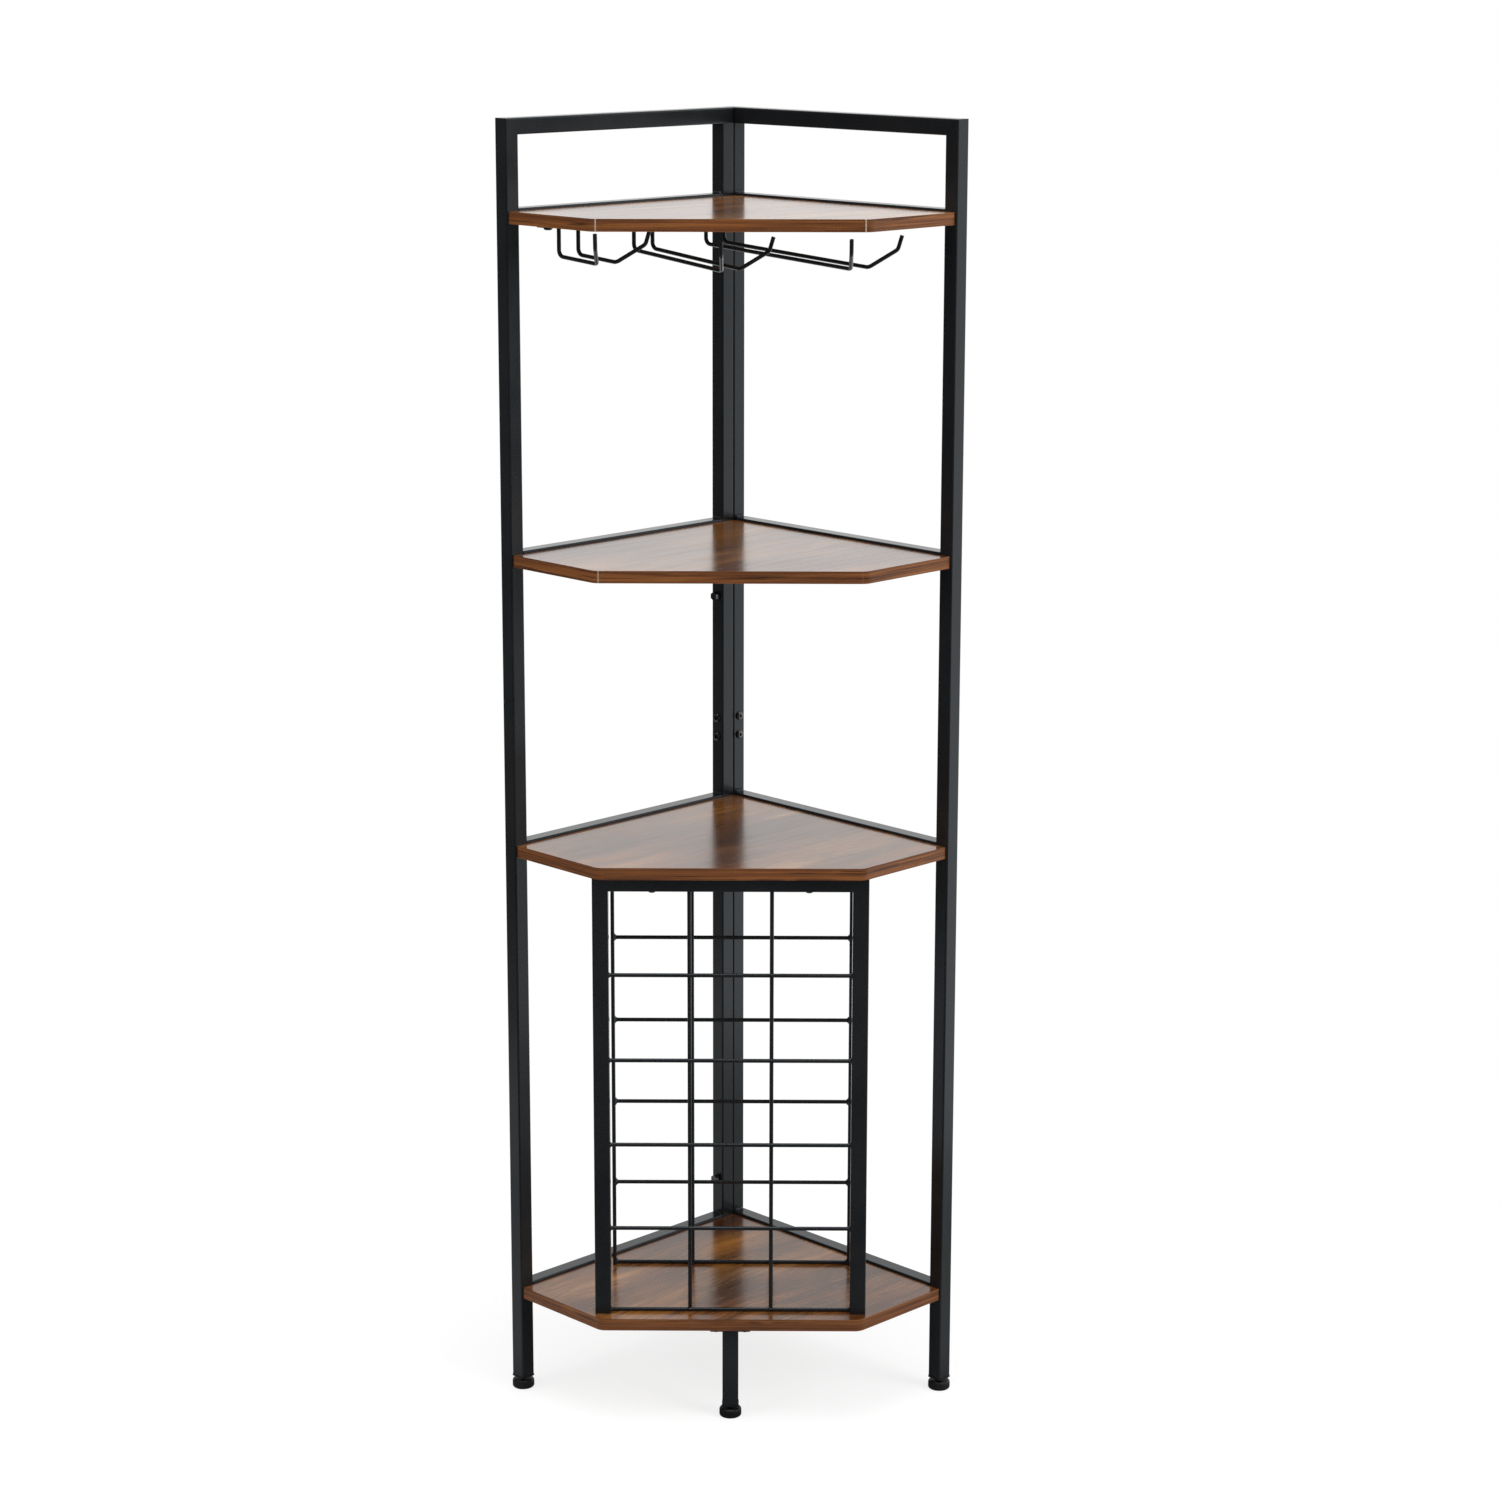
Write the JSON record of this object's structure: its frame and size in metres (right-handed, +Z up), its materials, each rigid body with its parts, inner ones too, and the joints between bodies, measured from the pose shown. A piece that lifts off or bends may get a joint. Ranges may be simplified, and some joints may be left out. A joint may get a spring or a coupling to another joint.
{
  "type": "corner wine rack",
  "caption": "Free-standing corner rack: steel-tube wings, five-sided wood shelves, wire bottle grid, glass hangers and levelling feet.",
  "frame": {"origin": "middle of the footprint's bounding box, on the floor", "axes": "+Z up, the front with the bottle grid faces -Y, +X to the viewer's right, the room's corner towards +Y"},
  "size_m": [0.5654, 0.3986, 1.62],
  "materials": {
    "black_steel": "black powder coat, fine satin",
    "shelf_board": "rustic brown wood-grain laminate, satin gloss",
    "shelf_edge": "rustic brown edge band with lengthwise grain",
    "dark_fastener": "black oxide",
    "black_plastic": "moulded, matt"
  },
  "bodies": {
    "frame": {"bottom_shelf_board": "shelf_board", "bottom_shelf_edge_band": "shelf_edge", "corner_bolts": "dark_fastener", "corner_nuts": "dark_fastener", "foot_inserts": "black_plastic", "front_leg": "black_steel", "front_leg_plate": "black_steel", "front_leg_screws": "dark_fastener", "glass_hanger_long": "black_steel", "glass_hanger_medium": "black_steel", "glass_hanger_short": "black_steel", "hanger_plates": "black_steel", "hanger_screws": "dark_fastener", "left_wing_bottom_shelf_rail": "black_steel", "left_wing_front_post_lower": "black_steel", "left_wing_front_post_upper": "black_steel", "left_wing_rear_post_lower": "black_steel", "left_wing_rear_post_upper": "black_steel", "left_wing_second_shelf_rail": "black_steel", "left_wing_shelf_tabs": "black_steel", "left_wing_third_shelf_rail": "black_steel", "left_wing_top_rail": "black_steel", "left_wing_top_shelf_rail": "black_steel", "post_connectors": "black_steel", "post_joint_bolts": "dark_fastener", "rack_bottom_bar": "black_steel", "rack_bottom_screws": "dark_fastener", "rack_front_crossbars": "black_steel", "rack_front_verticals": "black_steel", "rack_left_upright": "black_steel", "rack_rear_crossbars": "black_steel", "rack_rear_verticals": "black_steel", "rack_right_upright": "black_steel", "rack_top_bolts": "dark_fastener", "rack_top_rail": "black_steel", "rack_upright_plugs": "black_plastic", "rear_post_cap": "black_plastic", "right_wing_bottom_shelf_rail": "black_steel", "right_wing_front_post_lower": "black_steel", "right_wing_front_post_upper": "black_steel", "right_wing_rear_post_lower": "black_steel", "right_wing_rear_post_upper": "black_steel", "right_wing_second_shelf_rail": "black_steel", "right_wing_shelf_tabs": "black_steel", "right_wing_third_shelf_rail": "black_steel", "right_wing_top_rail": "black_steel", "right_wing_top_shelf_rail": "black_steel", "second_shelf_board": "shelf_board", "second_shelf_edge_band": "shelf_edge", "shelf_screws": "dark_fastener", "third_shelf_board": "shelf_board", "third_shelf_edge_band": "shelf_edge", "top_shelf_board": "shelf_board", "top_shelf_edge_band": "shelf_edge"},
    "left_foot": {"left_foot": "black_plastic"},
    "right_foot": {"right_foot": "black_plastic"},
    "corner_foot": {"corner_foot": "black_plastic"},
    "front_foot": {"front_foot": "black_plastic"}
  },
  "joints": [
    {"name": "left_foot_lift", "type": "slide", "parent": "frame", "child": "left_foot", "axis": [0, 0, 1], "range_m": [-0.012, 0.0026]},
    {"name": "right_foot_lift", "type": "slide", "parent": "frame", "child": "right_foot", "axis": [0, 0, 1], "range_m": [-0.012, 0.0026]},
    {"name": "corner_foot_lift", "type": "slide", "parent": "frame", "child": "corner_foot", "axis": [0, 0, 1], "range_m": [-0.012, 0.0026]},
    {"name": "front_foot_lift", "type": "slide", "parent": "frame", "child": "front_foot", "axis": [0, 0, 1], "range_m": [-0.012, 0.0026]}
  ]
}
